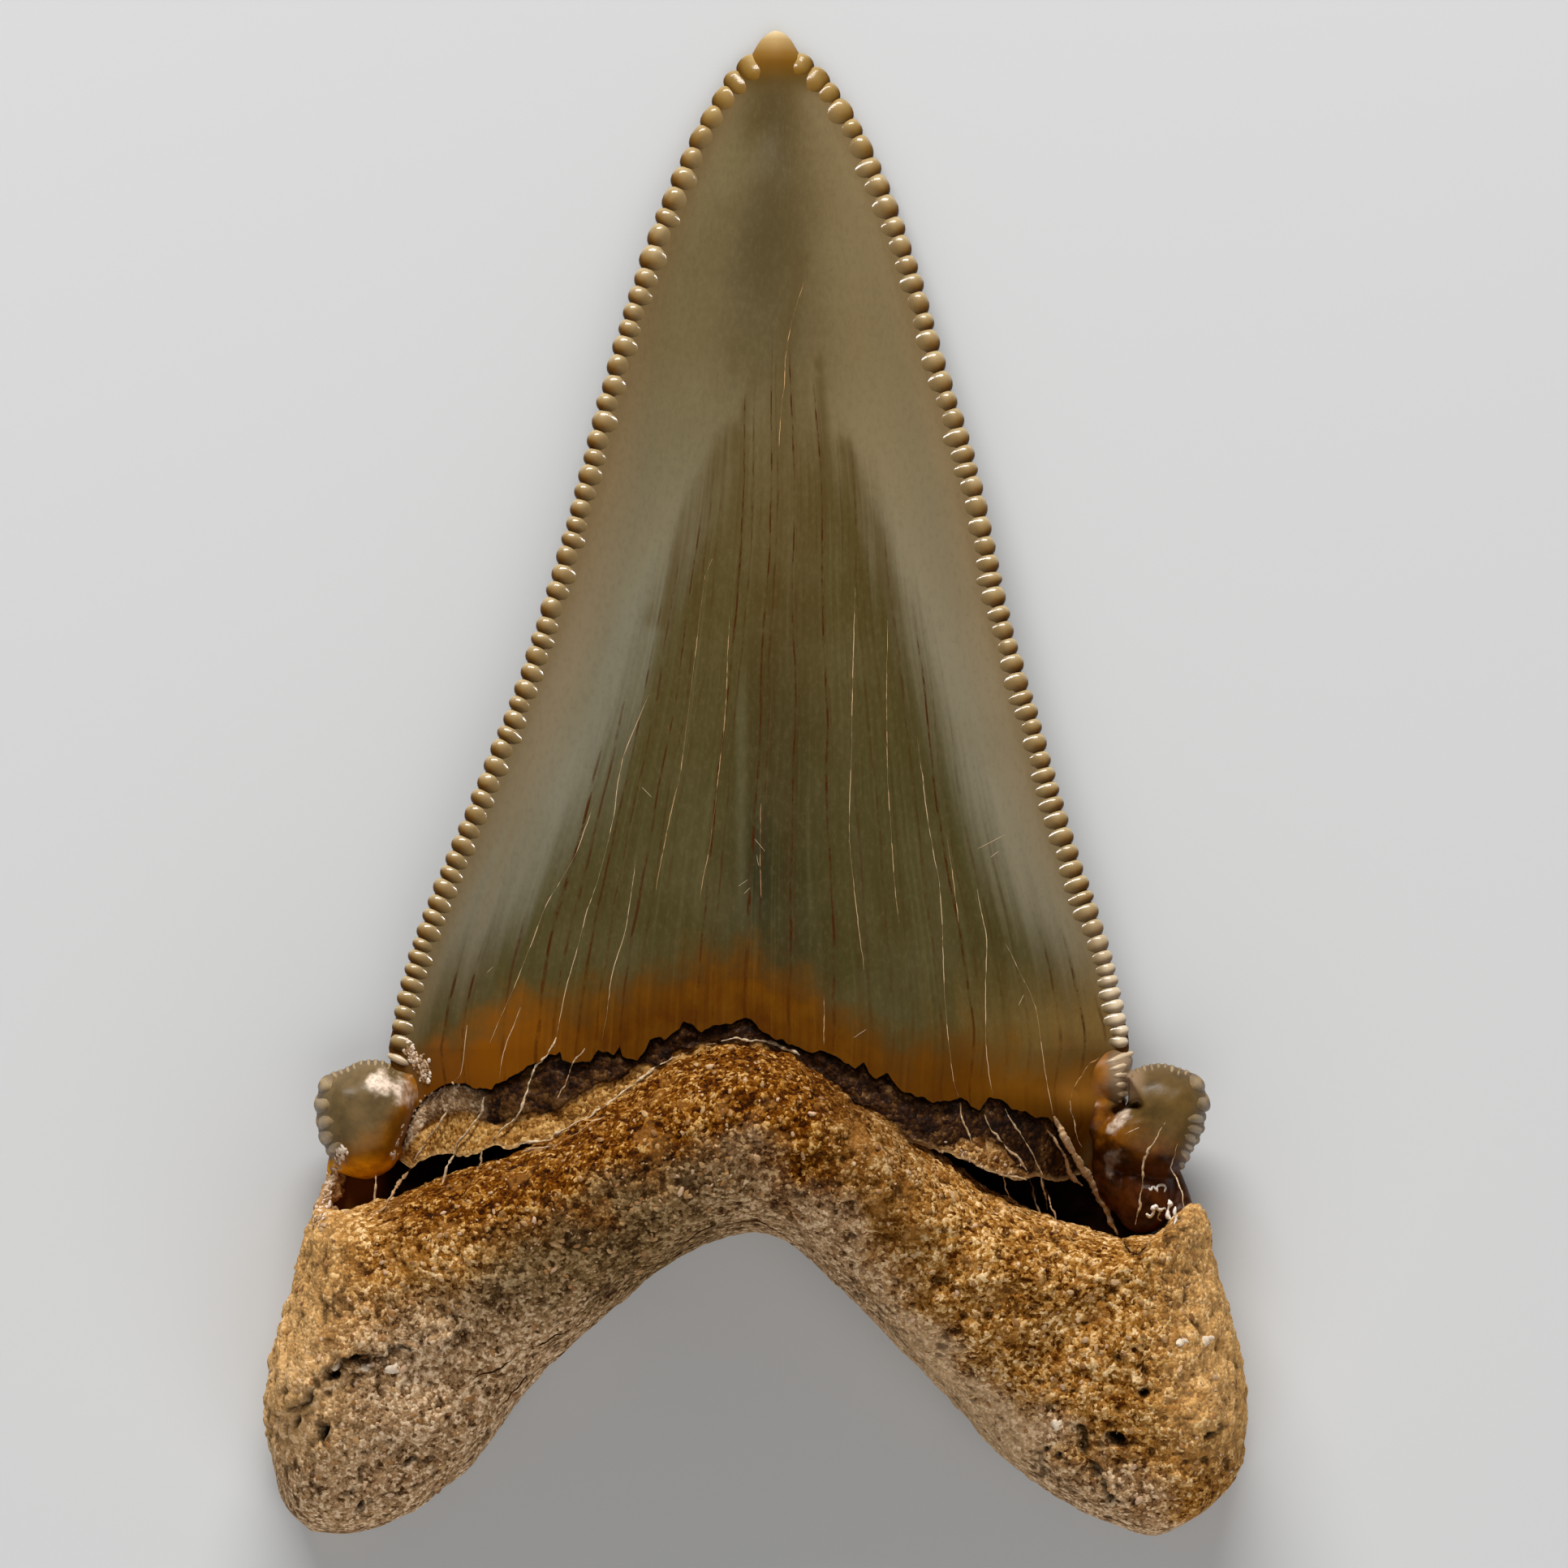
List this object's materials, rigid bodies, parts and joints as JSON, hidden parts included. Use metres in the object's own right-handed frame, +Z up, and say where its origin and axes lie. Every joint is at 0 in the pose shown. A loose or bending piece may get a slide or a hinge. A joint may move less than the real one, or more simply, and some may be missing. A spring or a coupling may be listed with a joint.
{
  "type": "fossil shark tooth",
  "caption": "Tall triangular fossil tooth with finely serrated cutting edges, small ridged side cusps and a thick two-lobed root, lying on its flatter face.",
  "frame": {"origin": "centre of the bounding box's bottom face, in the plane the tooth lies on", "axes": "+Y from the root to the tip, +X to the right as seen from above, +Z up out of the swollen inner face"},
  "size_m": [0.0458, 0.0704, 0.0138],
  "materials": {
    "enamel": "smooth, slightly translucent olive-grey enamel, amber at its base, with tan serrations and hairline cracks",
    "root": "rough, grainy orange-brown fossil bone, greyer towards the notch",
    "bare_dentine": "dark brown, cracked, thin layer between the enamel and the root, tan where it has flaked",
    "mineral": "pale mineral veins and crusts"
  },
  "bodies": {
    "root": {"tooth": "enamel"}
  },
  "joints": []
}
